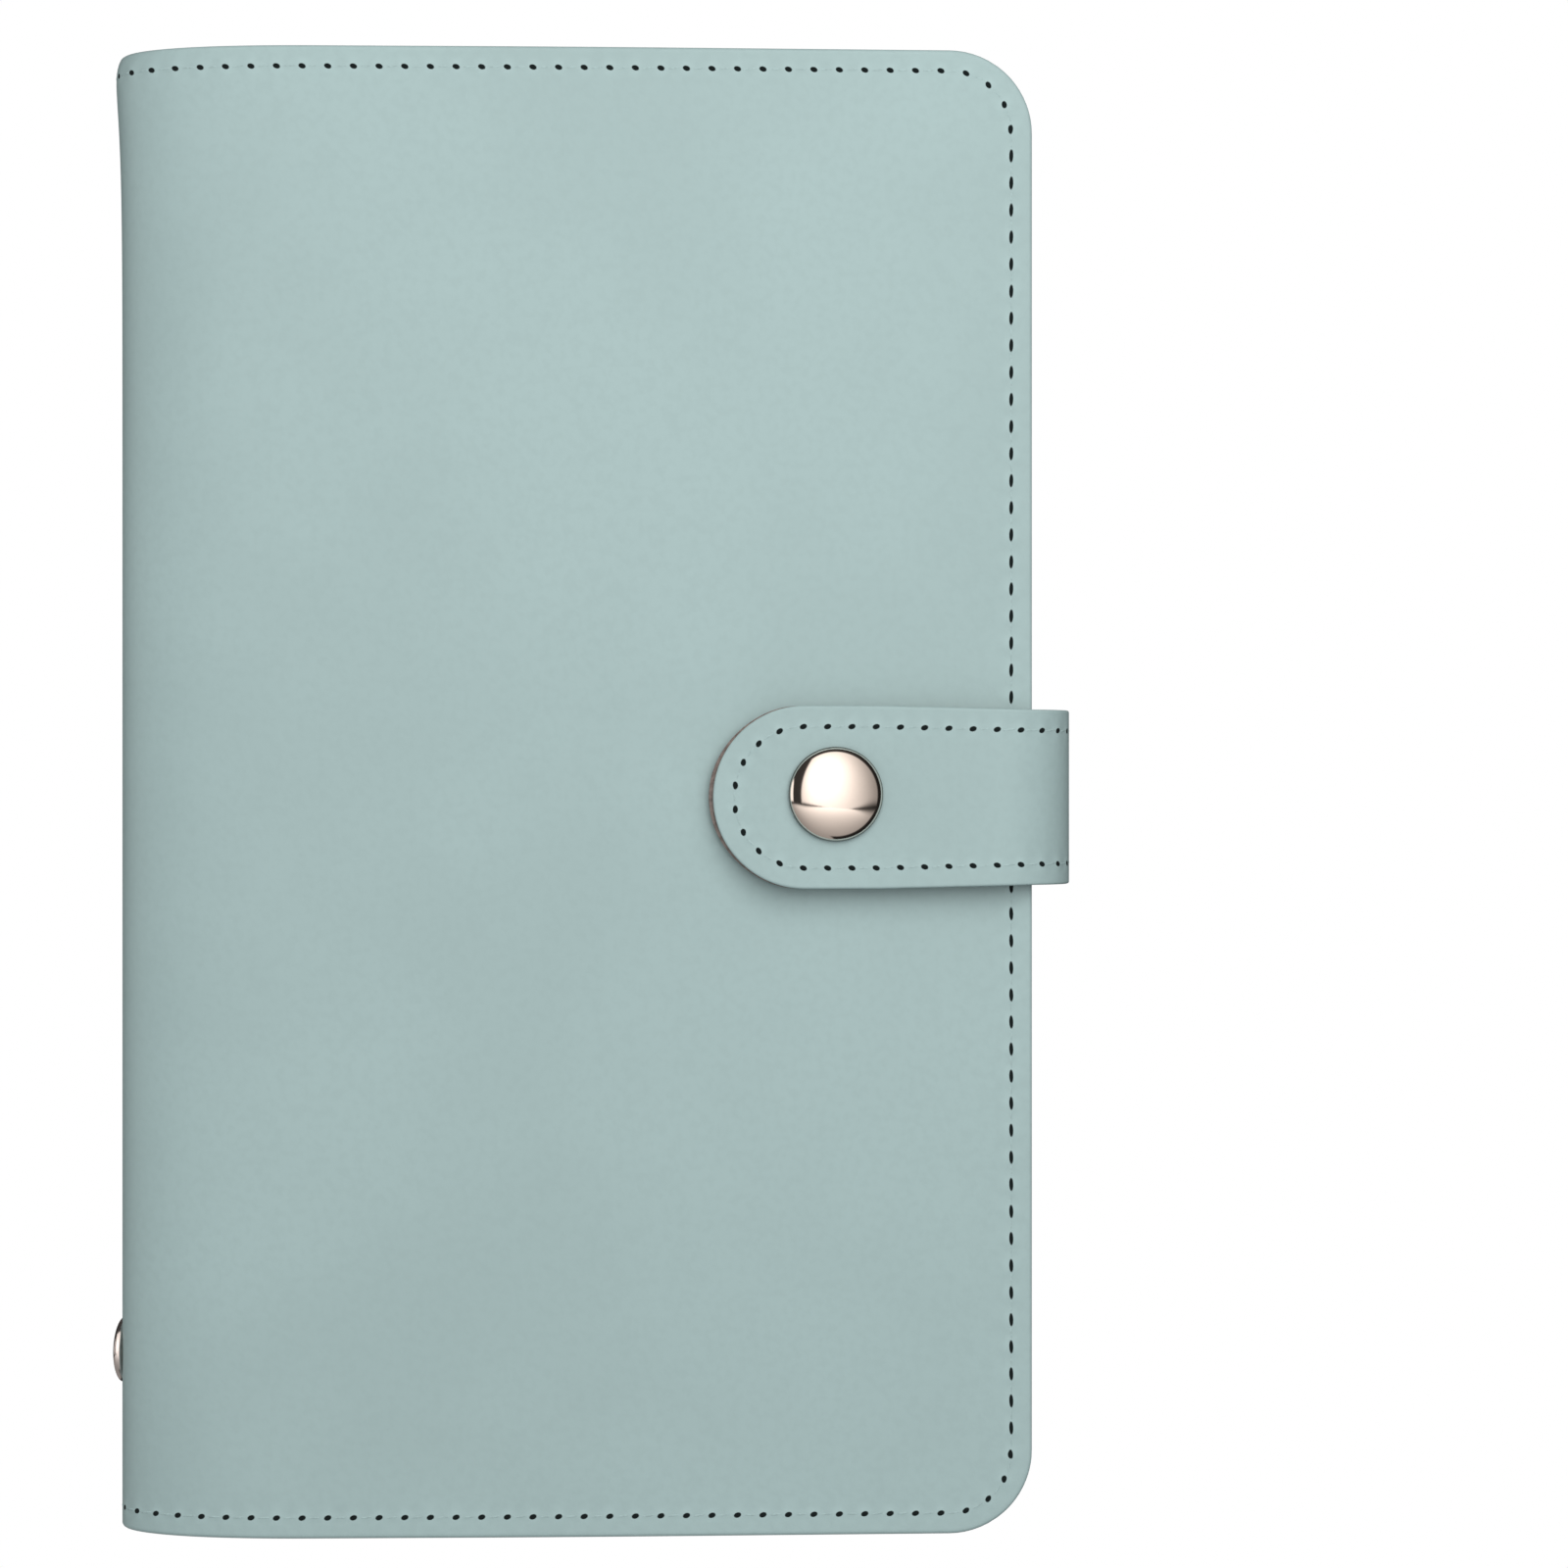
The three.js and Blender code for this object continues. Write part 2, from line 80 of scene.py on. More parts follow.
# Strap and snap
STRAP_OFFSET = -0.68
STRAP_WIDTH = 23.2
STRAP_FOLD_WIDTH = 22.3
STRAP_TAPER_LENGTH = 20.0
STRAP_OUTER = 1.1
STRAP_LINING = 0.7
STRAP_REACH = 5.2  # as in the photograph, a little under the CAD's
STRAP_BEND_RADIUS = 4.0
STRAP_SHOULDER_RADIUS = 9.5
STRAP_FLOOR_GAP = 0.1
STRAP_EDGE_GAP = 0.25
STRAP_TIP_PROUD = 0.5
STRAP_RISE = 2.1
STRAP_TIP_RISE = 0.9
STRAP_TIP_DROOP = 10.0
STRAP_TIP_MARGIN = 0.004
STRAP_EDGE_RADIUS = 0.28
BACKING_EDGE_RADIUS = 0.2
SNAP_INSET = 25.45
SNAP_OFFSET = -0.28
SNAP_TO_TIP = 15.9
CAP_DIAMETER = 12.0
CAP_DOME = 1.7
CAP_RIM = 0.7
CAP_EDGE_WIDTH = 0.45
CAP_EDGE_HEIGHT = 0.35
SNAP_SEAT = 0.05

# Seams
COVER_SEAM_INSET = 2.7
FORE_PITCH = 3.46
HEAD_PITCH = 3.25
STRAP_SEAM_INSET = 2.65
STRAP_PITCH = 3.08

# Stitches: length, width and height, depth under the leather, and the range of their slant
COVER_STITCH = (2.5, 0.42, 0.34)
COVER_STITCH_DEPTH = 0.13
STRAP_STITCH = (2.2, 0.4, 0.32)
STRAP_STITCH_DEPTH = 0.12
STITCH_SLANT_LEAST = (0, 0, 0.02)
STITCH_SLANT_MOST = (0, 0, 0.14)
STITCH_SEED = 7
STRAP_SEAM_START = 2.0

# Share of the strap's length that lies before its tab
TAB_FROM = 0.55

# Spine rivets, with the place of each in Y and Z
RIVET_DIAMETER = 8.4
RIVET_RIM = 0.6
RIVET_DOME = 0.9
RIVET_SINK = 0.45
RIVET_CHAMFER = 0.1
RIVET_FROM_END = 22.4
TAIL_RIVET = (RIVET_FROM_END - COVER_HEIGHT / 2, 9.8)
HEAD_RIVET = (COVER_HEIGHT / 2 - RIVET_FROM_END, 3.6)

# Half the length of leather that bends at each joint, and the strap's slope there in degrees
COVER_BEND_REACH = 3.2
LOW_BEND_REACH = 2.4
LOW_BEND_SLOPE = 45
HIGH_BEND_REACH = 4.2
HIGH_BEND_SLOPE = 135

# Spacing of the meshes' points, and how far past the fore corners they stay close
CORNER_STEP = 1.0
BACK_STEP = 6.0
SPINE_STEP = 1.2
FRONT_STEP = 3.5
ACROSS_STEP = 2.6
STRAP_STEP = 0.35
TAB_STEP = 1.2
CORNER_MARGIN = 2

# The covers' mesh is fine between these lengths, round the spine
SPINE_FROM = 88
SPINE_TO = 165

# How far the strap's mesh is fine, from its middle over the bend, and back from its tip
STRAP_BEND_RUN = 22
STRAP_TIP_RUN = 12

# Camera, from the photograph
CAMERA_HEIGHT = 510.0
CAMERA_X = 70.7
FRAME_CENTRE_X = 85.3
FRAME_CENTRE_Y = 1.0
FRAME_SIZE = 199.6
SENSOR = 36.0

SNAP_X = COVER_WIDTH - SNAP_INSET
TIP_X = SNAP_X - SNAP_TO_TIP
TIP_CENTRE_X = TIP_X + STRAP_WIDTH / 2
BEND_X = COVER_WIDTH + STRAP_REACH - STRAP_BEND_RADIUS
SHOULDER_X = COVER_WIDTH + STRAP_REACH - STRAP_SHOULDER_RADIUS
STRAP_THICKNESS = STRAP_OUTER + BOND_GAP + STRAP_LINING

# Step in x from the CAD's own frame to the row frame
SHIFT = -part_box("back_cover_skin")[0].x / MM


# Routes in the X-Z plane

def front_height(x):
    """Height of the front cover's outer face past the spine's curve."""
    x = np.asarray(x, float)
    blend_end = CROWN_END + FALL_BLEND
    bend = CROWN_HEIGHT - FALL_SLOPE / (2 * FALL_BLEND) * np.clip(x - CROWN_END, 0, FALL_BLEND) ** 2
    return bend - FALL_SLOPE * np.clip(x - blend_end, 0, None)


def cover_route(count=400):
    """Outer face of the covers, from the back's fore edge round the spine to the front's."""
    half = CROWN_HEIGHT / 2
    power = 2 / SPINE_FULLNESS
    turn = np.linspace(-math.pi / 2, math.pi / 2, 2 * count + 1)
    reach = np.where(turn < 0, SPINE_REACH_BACK, SPINE_REACH_FRONT)
    spine_x = reach * (1 - np.abs(np.cos(turn)) ** power)
    spine_z = half + np.sign(turn) * half * np.abs(np.sin(turn)) ** power
    back_x = np.linspace(COVER_WIDTH, SPINE_REACH_BACK, count)[:-1]
    front_x = np.linspace(SPINE_REACH_FRONT, COVER_WIDTH, 2 * count)[1:]
    x = np.concatenate([back_x, spine_x, front_x])
    z = np.concatenate([0 * back_x, spine_z, front_height(front_x)])
    return Route(x, z, 1)


def strap_top(x):
    """Height of the strap's outer face over the front cover, lower at its tip."""
    droop = np.clip((TIP_X + STRAP_TIP_DROOP - x) / STRAP_TIP_DROOP, 0, 1)
    share = (1 - np.cos(math.pi * droop)) / 2
    rise = STRAP_RISE - (STRAP_RISE - STRAP_TIP_RISE) * share
    return front_height(x) + rise + STRAP_THICKNESS


def strap_route(count=200):
    """Outer face of the strap, from the back cover's seam up the fore edge and over to the tip."""
    low_z = STRAP_FLOOR_GAP + STRAP_BEND_RADIUS
    end_turn = math.pi / 2 - math.atan(FALL_SLOPE)
    tab_x = SHOULDER_X + STRAP_SHOULDER_RADIUS * math.cos(end_turn)
    high_z = float(strap_top(tab_x)) - STRAP_SHOULDER_RADIUS * math.sin(end_turn)
    lip_x = np.linspace(COVER_WIDTH + STRAP_EDGE_GAP, BEND_X, 20)[:-1]
    low = np.linspace(-math.pi / 2, 0, count)
    high = np.linspace(0, end_turn, count)
    tab = np.linspace(tab_x, TIP_X - 0.5, 2 * count)[1:]
    x = np.concatenate([
        lip_x,
        BEND_X + STRAP_BEND_RADIUS * np.cos(low),
        SHOULDER_X + STRAP_SHOULDER_RADIUS * np.cos(high),
        tab,
    ])
    z = np.concatenate([
        0 * lip_x + STRAP_FLOOR_GAP,
        low_z + STRAP_BEND_RADIUS * np.sin(low),
        high_z + STRAP_SHOULDER_RADIUS * np.sin(high),
        strap_top(tab),
    ])
    return Route(x, z, -1)


class Route:
    """A line in the X-Z plane, walked by its length. side is 1 if its outer face is on the left."""

    def __init__(self, x, z, side):
        step = np.hypot(np.diff(x), np.diff(z))
        self.s = np.concatenate([[0], np.cumsum(step)])
        self.x = x
        self.z = z
        self.side = side
        self.length = self.s[-1]

    def point(self, s):
        """Place in X and Z at a length."""
        return np.stack([np.interp(s, self.s, self.x), np.interp(s, self.s, self.z)], -1)

    def along(self, s, reach=0.15):
        """Unit direction of the line at a length."""
        step = self.point(np.minimum(s + reach, self.length)) - self.point(np.maximum(s - reach, 0))
        return step / np.linalg.norm(step, axis=-1, keepdims=True)

    def slope(self):
        """Direction in degrees at each point of the line."""
        t = self.along(self.s)
        return np.degrees(np.arctan2(t[:, 1], t[:, 0]))

    def outward(self, s):
        """Unit direction out of the line's outer face at a length."""
        t = self.along(s)
        return self.side * np.stack([-t[..., 1], t[..., 0]], -1)

    def near(self, miss, allowed=True):
        """Length at which the miss is least, of the points that are allowed."""
        return self.s[np.argmin(np.where(allowed, miss, np.inf))]


COVER = cover_route()
STRAP = strap_route()


def row(x, y, z):
    """CAD millimetres to metres in the row frame."""
    return ((x - SHIFT) * MM, y * MM, z * MM)


def bend_line(route, spot, reach):
    """Start and end of a joint's bend, along the route at a length."""
    x, z = route.point(spot)
    dx, dz = route.along(spot) * reach
    return row(x - dx, 0, z - dz), row(x + dx, 0, z + dz)


# Middle of the spine, the front cover's bend, and the strap's two bends in the middle of their arcs
SPINE_MIDDLE = COVER.near(np.abs(COVER.z - CROWN_HEIGHT / 2), COVER.x <= SPINE_REACH_BACK)
HINGE_SPOT = COVER.near(np.abs(COVER.x - HINGE_INSET), COVER.z >= CROWN_HEIGHT / 2)
COVER_BEND = bend_line(COVER, HINGE_SPOT, COVER_BEND_REACH)
LOW_BEND = bend_line(STRAP, STRAP.near(np.abs(STRAP.slope() - LOW_BEND_SLOPE)), LOW_BEND_REACH)
HIGH_BEND = bend_line(STRAP, STRAP.near(np.abs(STRAP.slope() - HIGH_BEND_SLOPE)), HIGH_BEND_REACH)


# Meshes

def spaced(start, end, step):
    """Even stations from start to end, about a step apart."""
    count = max(2, int(round(abs(end - start) / step)) + 1)
    return np.linspace(start, end, count)


# Last step of the covers' mesh before the split along the spine, and steps in from a rolled edge
SPLIT_STEP = 0.02
EDGE_INSETS = np.array([0, 0.05, 0.14, 0.28, 0.46, 0.7, 1.1, 1.6, 2.1, 2.55, 3.0, 3.6, 4.4, 5.6])


def graded(length, step):
    """Stations from 0 to length, close together at both ends."""
    middle = spaced(EDGE_INSETS[-1], length - EDGE_INSETS[-1], step)[1:-1]
    return np.concatenate([EDGE_INSETS, middle, length - EDGE_INSETS[::-1]])


def new_object(name, verts, faces, uv=None, smooth=True):
    """Mesh object from millimetre vertices in the CAD's own frame."""
    verts = np.asarray(verts, float).copy()
    verts[:, 0] -= SHIFT
    mesh = bpy.data.meshes.new(name)
    mesh.from_pydata((verts * MM).tolist(), [], faces)
    if uv is not None:
        layer = mesh.uv_layers.new(name="seam")
        index = np.zeros(len(mesh.loops), np.int32)
        mesh.loops.foreach_get("vertex_index", index)
        layer.data.foreach_set("uv", np.asarray(uv, np.float32)[index].ravel())
    mesh.polygons.foreach_set("use_smooth", [smooth] * len(mesh.polygons))
    mesh.update()
    obj = bpy.data.objects.new(name, mesh)
    bpy.context.scene.collection.objects.link(obj)
    return obj


def grid_faces(rows, columns, first, flip):
    """Quads of a grid of points, counted from first."""
    faces = []
    for i in range(rows - 1):
        for j in range(columns - 1):
            a = first + i * columns + j
            quad = (a, a + 1, a + columns + 1, a + columns)
            faces.append(quad[::-1] if flip else quad)
    return faces


def spine_flare(x, y):
    """Step in x of the spine's head end, which stands out a little as a soft roll does."""
    from_head = COVER_HEIGHT / 2 - y
    swell = (1 - np.exp(-from_head / FLARE_ONSET)) * np.exp(-from_head / FLARE_LENGTH)
    return -SPINE_FLARE * swell * np.exp(-((x / FLARE_REACH) ** 2))


def slab(name, route, stations, half_at, distance_at, seam_at, depths, edge_radius, middle=0.0):
    """Closed layer along a route between two depths, with rounded edges."""
    half = half_at(stations)
    widest = half.max()
    across = graded(2 * widest, ACROSS_STEP) / widest - 1
    s = np.repeat(stations[:, None], len(across), 1)
    y = half[:, None] * across[None, :]
    distance = np.clip(distance_at(s, y), 0, None)
    point = route.point(s)
    outward = route.outward(s)
    gap = np.clip(edge_radius - distance, 0, edge_radius)
    roll = edge_radius - np.sqrt(np.clip(edge_radius ** 2 - gap ** 2, 0, None))
    layers = []
    for depth in (depths[0] + roll, depths[1] - roll):
        place = point - outward * depth[..., None]
        x = place[..., 0] + spine_flare(place[..., 0], y)
        layers.append(np.stack([x, y + middle, place[..., 1]], -1).reshape(-1, 3))
    rows, columns = s.shape
    count = rows * columns
    uv = np.stack(seam_at(s, y), -1).reshape(-1, 2)
    flip = route.side < 0
    faces = grid_faces(rows, columns, 0, flip) + grid_faces(rows, columns, count, not flip)
    top = list(range(columns))
    right = [i * columns + columns - 1 for i in range(1, rows)]
    bottom = [(rows - 1) * columns + j for j in range(columns - 2, -1, -1)]
    left = [i * columns for i in range(rows - 2, 0, -1)]
    loop = top + right + bottom + left
    for a, b in zip(loop, loop[1:] + loop[:1]):
        quad = (b, a, a + count, b + count)
        faces.append(quad[::-1] if flip else quad)
    return new_object(name, np.vstack(layers), faces, np.vstack([uv, uv]))


def turned(name, profile, place, outward, segments=96):
    """Round piece from radius and height pairs, set at an X-Y-Z place with its axis along outward."""
    axis = Vector(outward).normalized()
    turn = Vector((0, 0, 1)).rotation_difference(axis).to_matrix()
    angle = np.linspace(0, 2 * math.pi, segments, endpoint=False)
    rings = [
        np.stack([r * np.cos(angle), r * np.sin(angle), 0 * angle + h], -1)
        for r, h in profile[1:-1]
    ]
    verts = np.vstack([[[0, 0, profile[0][1]]], *rings, [[0, 0, profile[-1][1]]]])
    radius = np.hypot(verts[:, 0], verts[:, 1])
    share = np.stack([radius / radius.max(), 0 * radius], -1)
    verts = verts @ np.array(turn).T + np.array(place)
    faces = []
    last = len(verts) - 1
    for j in range(segments):
        k = (j + 1) % segments
        faces.append((0, 1 + k, 1 + j))
        for i in range(len(rings) - 1):
            a = 1 + i * segments
            faces.append((a + j, a + k, a + segments + k, a + segments + j))
        a = 1 + (len(rings) - 1) * segments
        faces.append((a + j, a + k, last))
    return new_object(name, verts, faces, share)


# Outlines of the covers and the strap, laid flat

def cover_half(s):
    """Half height of the covers at a length, less at the round fore corners."""
    from_end = np.minimum(s, COVER.length - s)
    inside = np.clip(FORE_CORNER_RADIUS - from_end, 0, None)
    arc = np.sqrt(np.clip(FORE_CORNER_RADIUS ** 2 - inside ** 2, 0, None))
    return COVER_HEIGHT / 2 - FORE_CORNER_RADIUS + arc


def cover_distance(s, y):
    """Distance from the covers' outline, inwards."""
    from_end = np.minimum(s, COVER.length - s)
    from_side = COVER_HEIGHT / 2 - np.abs(y)
    into_end = FORE_CORNER_RADIUS - from_end
    into_side = FORE_CORNER_RADIUS - from_side
    corner = FORE_CORNER_RADIUS - np.hypot(into_end, into_side)
    return np.where((into_end > 0) & (into_side > 0), corner, np.minimum(from_end, from_side))


def cover_seam(s, y):
    """Stitch count along the covers' seam, and the distance from it in millimetres."""
    radius = FORE_CORNER_RADIUS - COVER_SEAM_INSET
    straight = COVER_HEIGHT / 2 - FORE_CORNER_RADIUS
    from_end = np.minimum(s, COVER.length - s)
    into_end = FORE_CORNER_RADIUS - from_end
    into_side = np.abs(y) - straight
    angle = np.arctan2(np.clip(into_side, 1e-9, None), np.clip(into_end, 1e-9, None))
    fore = np.minimum(np.abs(y), straight) / FORE_PITCH
    corner = radius * angle / HEAD_PITCH
    side = np.clip(-into_end, 0, None) / HEAD_PITCH
    on_fore = (from_end < COVER_HEIGHT / 2 - np.abs(y)) & (into_side <= 0)
    count = np.where(on_fore, fore, straight / FORE_PITCH + corner + side)
    return count, cover_distance(s, y) - COVER_SEAM_INSET


def strap_x(s):
    """X of the strap's outer face at a length."""
    return STRAP.point(s)[..., 0]


def tab_length(x):
    """Length along the strap at which its tab reaches an x."""
    tab = STRAP.s > STRAP.length * TAB_FROM
    return float(np.interp(-x, -STRAP.x[tab], STRAP.s[tab]))


def strap_half(s, proud=0.0):
    """Half width of the strap at a length, round at the tip, which lies back by proud."""
    x = strap_x(s)
    taper = np.clip((x - COVER_WIDTH + STRAP_TAPER_LENGTH) / STRAP_TAPER_LENGTH, 0, 1)
    straight = STRAP_WIDTH / 2 - taper * (STRAP_WIDTH - STRAP_FOLD_WIDTH) / 2
    into = np.clip(TIP_CENTRE_X + proud - x, 0, STRAP_WIDTH / 2)
    tip = np.sqrt(np.clip((STRAP_WIDTH / 2) ** 2 - into ** 2, 0, None))
    return np.where(into > 0, tip, straight)


def strap_distance(s, y, proud=0.0):
    """Distance from the strap's outline, inwards."""
    x = strap_x(s)
    into = np.clip(TIP_CENTRE_X + proud - x, 0, None)
    tip = STRAP_WIDTH / 2 - np.hypot(into, y)
    return np.where(into > 0, tip, strap_half(s, proud) - np.abs(y))


def strap_seam(s, y, proud=0.0):
    """Stitch count along the strap's seam from its tip, and the distance from it in millimetres."""
    radius = STRAP_WIDTH / 2 - STRAP_SEAM_INSET
    centre = TIP_CENTRE_X + proud
    x = strap_x(s)
    centre_s = tab_length(centre)
    angle = np.arctan2(np.abs(y), np.clip(centre - x, 0, None) + 1e-9)
    count = np.where(x < centre, radius * angle, radius * math.pi / 2 + centre_s - s) / STRAP_PITCH
    return count, strap_distance(s, y, proud) - STRAP_SEAM_INSET


# Nodes

class Wire:
    """A socket that can be reckoned with, in the nodes that it is part of."""

    def __init__(self, nodes, socket):
        self.nodes = nodes
        self.socket = socket

    def other(self, output):
        """Another output of the same node."""
        return Wire(self.nodes, self.socket.node.outputs[output])

    def math(self, operation, *others):
        return self.nodes.math(operation, self, *others)

    def __add__(self, other):
        return self.math("ADD", other)

    def __sub__(self, other):
        return self.math("SUBTRACT", other)

    def __rsub__(self, other):
        return self.nodes.math("SUBTRACT", other, self)

    def __mul__(self, other):
        return self.math("MULTIPLY", other)

    def __truediv__(self, other):
        return self.math("DIVIDE", other)

    def __rtruediv__(self, other):
        return self.nodes.math("DIVIDE", other, self)

    __radd__ = __add__
    __rmul__ = __mul__

    def bell(self, width):
        """1 at zero, falling away over about width."""
        ratio = self * (1 / width)
        return (ratio * ratio * -1.0).math("EXPONENT")

    def step(self, low, high):
        """0 under low, 1 over high, smooth between."""
        return self.nodes.node(
            "ShaderNodeMapRange", {"interpolation_type": "SMOOTHSTEP"},
            {"Value": self, "From Min": low, "From Max": high}, "Result",
        )


# Places of the colour sockets of a Mix node
MIX_SHARE = 0
MIX_LOW = 6
MIX_HIGH = 7
MIX_RESULT = 2


class Nodes:
    """A node tree, and the one call that makes its nodes."""

    def __init__(self, tree):
        self.tree = tree

    def node(self, kind, settings=None, sockets=None, output=0):
        """An output of a new node, whose settings come first, then its sockets' values or links."""
        made = self.tree.nodes.new(kind)
        for name, value in (settings or {}).items():
            setattr(made, name, value)
        for key, value in (sockets or {}).items():
            if isinstance(value, Wire):
                self.tree.links.new(value.socket, made.inputs[key])
            else:
                made.inputs[key].default_value = value
        return None if output is None else Wire(self, made.outputs[output])

    def math(self, operation, *values):
        return self.node("ShaderNodeMath", {"operation": operation}, dict(enumerate(values)))

    def mix(self, share, low, high):
        """Colour between two, each a colour or a wire."""
        low, high = (end if isinstance(end, Wire) else (*end, 1) for end in (low, high))
        sockets = {MIX_SHARE: share, MIX_LOW: low, MIX_HIGH: high}
        return self.node("ShaderNodeMix", {"data_type": "RGBA"}, sockets, MIX_RESULT)


class Look(Nodes):
    """A material with a Principled shader, and the textures that it is made from."""

    def __init__(self, name, color, roughness, **values):
        self.material = bpy.data.materials.new(name)
        self.material.use_nodes = True
        super().__init__(self.material.node_tree)
        self.shader = self.tree.nodes["Principled BSDF"]
        self.shader.inputs["Base Color"].default_value = (*color, 1)
        self.shader.inputs["Roughness"].default_value = roughness
        for socket, value in values.items():
            self.shader.inputs[socket.replace("_", " ")].default_value = value

    def place(self):
        return self.node("ShaderNodeTexCoord", output="Object")

    def seam(self):
        """Stitch count and distance from the seam."""
        uv = self.node("ShaderNodeUVMap", {"uv_map": "seam"}, output="UV")
        count = self.node("ShaderNodeSeparateXYZ", {}, {"Vector": uv}, "X")
        return count, count.other("Y")

    def noise(self, scale, detail=2.0, roughness=0.5):
        sockets = {"Vector": self.place(), "Scale": scale, "Detail": detail, "Roughness": roughness}
        return self.node("ShaderNodeTexNoise", {}, sockets, "Fac")

    def cells(self, scale, randomness=1.0):
        sockets = {"Vector": self.place(), "Scale": scale, "Randomness": randomness}
        return self.node("ShaderNodeTexVoronoi", {}, sockets, "Distance")

    def feed(self, socket, wire):
        self.tree.links.new(wire.socket, self.shader.inputs[socket])

    def bump(self, height, distance, strength=1.0):
        sockets = {"Height": height, "Distance": distance, "Strength": strength}
        self.feed("Normal", self.node("ShaderNodeBump", {}, sockets, "Normal"))


def shade(color, factor):
    return tuple(c * factor for c in color)


LEATHER = (0.400, 0.520, 0.512)
# Painted shade that darkens the inside of the needle holes
HOLE_SHADE = (0.006, 0.010, 0.010)
RAW_EDGE = (0.235, 0.185, 0.165)
FILM = (0.80, 0.85, 0.85)
FILM_DULL = (0.72, 0.78, 0.78)
FILM_CLEAR = (0.86, 0.9, 0.9)
ROSE_METAL = (0.90, 0.82, 0.76)
NICKEL = (0.70, 0.66, 0.65)
CHAMPAGNE = (1.0, 0.92, 0.86)
SKY = (0.95, 1.02, 1.06)
KEY_COLOR = (1.0, 0.985, 0.975)

# Half sizes of a needle hole, along and across the seam, in millimetres, and its lean
HOLE_SIZE = (0.42, 0.32)
SLIT_SIZE = (0.74, 0.24)
HOLE_LEAN = 0.3


def leather_look(name, pitch, slits=0.0, pucker=0.05):
    """Smooth leather with a faint grain and needle holes, which are slits up to a stitch count; the holes
    and the seam's groove are darkened with painted shade, and painted highlights lie on the puckers
    beside the holes.
    """
    look = Look(name, LEATHER, 0.5, Specular_IOR_Level=0.4)
    cloud = look.noise(28.0, 3.0)
    fine = look.noise(900.0, 2.0)
    count, distance = look.seam()
    phase = count.math("FRACT") - 0.5
    slit = count.step(slits + 0.8, slits - 0.8)
    half_length, half_width = (
        slit * (long - short) + short for long, short in zip(SLIT_SIZE, HOLE_SIZE)
    )
    along = (phase * pitch + distance * HOLE_LEAN) / half_length
    across = distance / half_width
    hole = (along * along + across * across).step(1.3, 0.75)
    wave = (phase * (2 * math.pi)).math("COSINE")
    groove = distance.bell(0.45)
    puff = distance.bell(1.25) * wave
    tone = look.mix(cloud.step(0.3, 0.7), shade(LEATHER, 0.965), shade(LEATHER, 1.03))
    tone = look.mix(fine.step(0.35, 0.75) * 0.25, tone, shade(LEATHER, 0.86))
    # Painted shade along the seam's groove
    tone = look.mix(groove * 0.03, tone, shade(LEATHER, 0.6))
    # Painted highlight on the puckers beside each needle hole
    pucker_highlight = (phase * pitch).bell(0.8) * distance.bell(0.85)
    tone = look.mix(pucker_highlight * 0.6, tone, shade(LEATHER, 1.16))
    # The needle holes get painted shade in the base colour
    look.feed("Base Color", look.mix(hole, tone, HOLE_SHADE))
    look.feed("Roughness", (cloud - 0.5) * 0.12 + hole * 0.5 + 0.5)
    grain = look.cells(1150.0) * 0.012 + look.noise(420.0, 3.0) * 0.012
    height = grain - puff * pucker - groove * 0.03 - hole * 0.3
    look.bump(height, MM, 0.9)
    return look.material


def lining_look():
    """Matt woven lining of the covers."""
    look = Look("lining", shade(LEATHER, 0.8), 0.7)
    weave = look.noise(700.0, 3.0)
    look.feed("Base Color", look.mix(weave.step(0.3, 0.7), shade(LEATHER, 0.74), shade(LEATHER, 0.88)))
    look.bump(weave, 0.05 * MM, 0.8)
    return look.material


def raw_edge_look():
    """Backing layer of the strap, brown where it was cut."""
    look = Look("strap_backing", RAW_EDGE, 0.8)
    fibre = look.noise(1500.0, 3.0, 0.6)
    look.feed("Base Color", look.mix(fibre.step(0.3, 0.7), shade(RAW_EDGE, 0.75), shade(RAW_EDGE, 1.3)))
    look.bump(fibre, 0.08 * MM, 0.8)
    return look.material


def thread_look():
    """Thread of the leather's colour, twisted."""
    look = Look("thread", LEATHER, 0.6)
    twist = look.noise(2600.0, 1.0)
    look.feed("Base Color", look.mix(twist.step(0.35, 0.65), shade(LEATHER, 0.92), shade(LEATHER, 1.08)))
    look.bump(twist, 0.03 * MM, 0.7)
    return look.material


def film_look():
    """Frosted film of the envelopes."""
    look = Look("film", FILM, 0.28, Coat_Weight=0.3)
    haze = look.noise(60.0, 2.0)
    look.feed("Base Color", look.mix(haze, FILM_DULL, FILM_CLEAR))
    look.feed("Roughness", haze * 0.2 + 0.2)
    return look.material


def binder_look():
    """Pebbled strip that holds the envelopes."""
    look = Look("binder", shade(LEATHER, 0.62), 0.55)
    pebble = look.noise(500.0, 2.0)
    look.feed("Base Color", look.mix(pebble.step(0.3, 0.7), shade(LEATHER, 0.56), shade(LEATHER, 0.68)))
    look.bump(pebble, 0.04 * MM, 0.6)
    return look.material


def metal_look(name, color, roughness, rim=(2.0, 3.0)):
    """Polished metal, with painted shade darkening the rolled rim of a turned piece between two shares of
    its radius.
    """
    look = Look(name, color, roughness, Metallic=1.0)
    wear = look.noise(260.0, 4.0, 0.65)
    tone = look.mix(wear.step(0.35, 0.7), shade(color, 0.98), shade(color, 1.01))
    radius = look.seam()[0]
    # Painted shade in the rolled rim, where the cap meets the strap
    look.feed("Base Color", look.mix(radius.step(*rim), tone, shade(color, 0.1)))
    look.feed("Roughness", wear * (0.5 * roughness) + 0.75 * roughness)
    return look.material


# Stitches

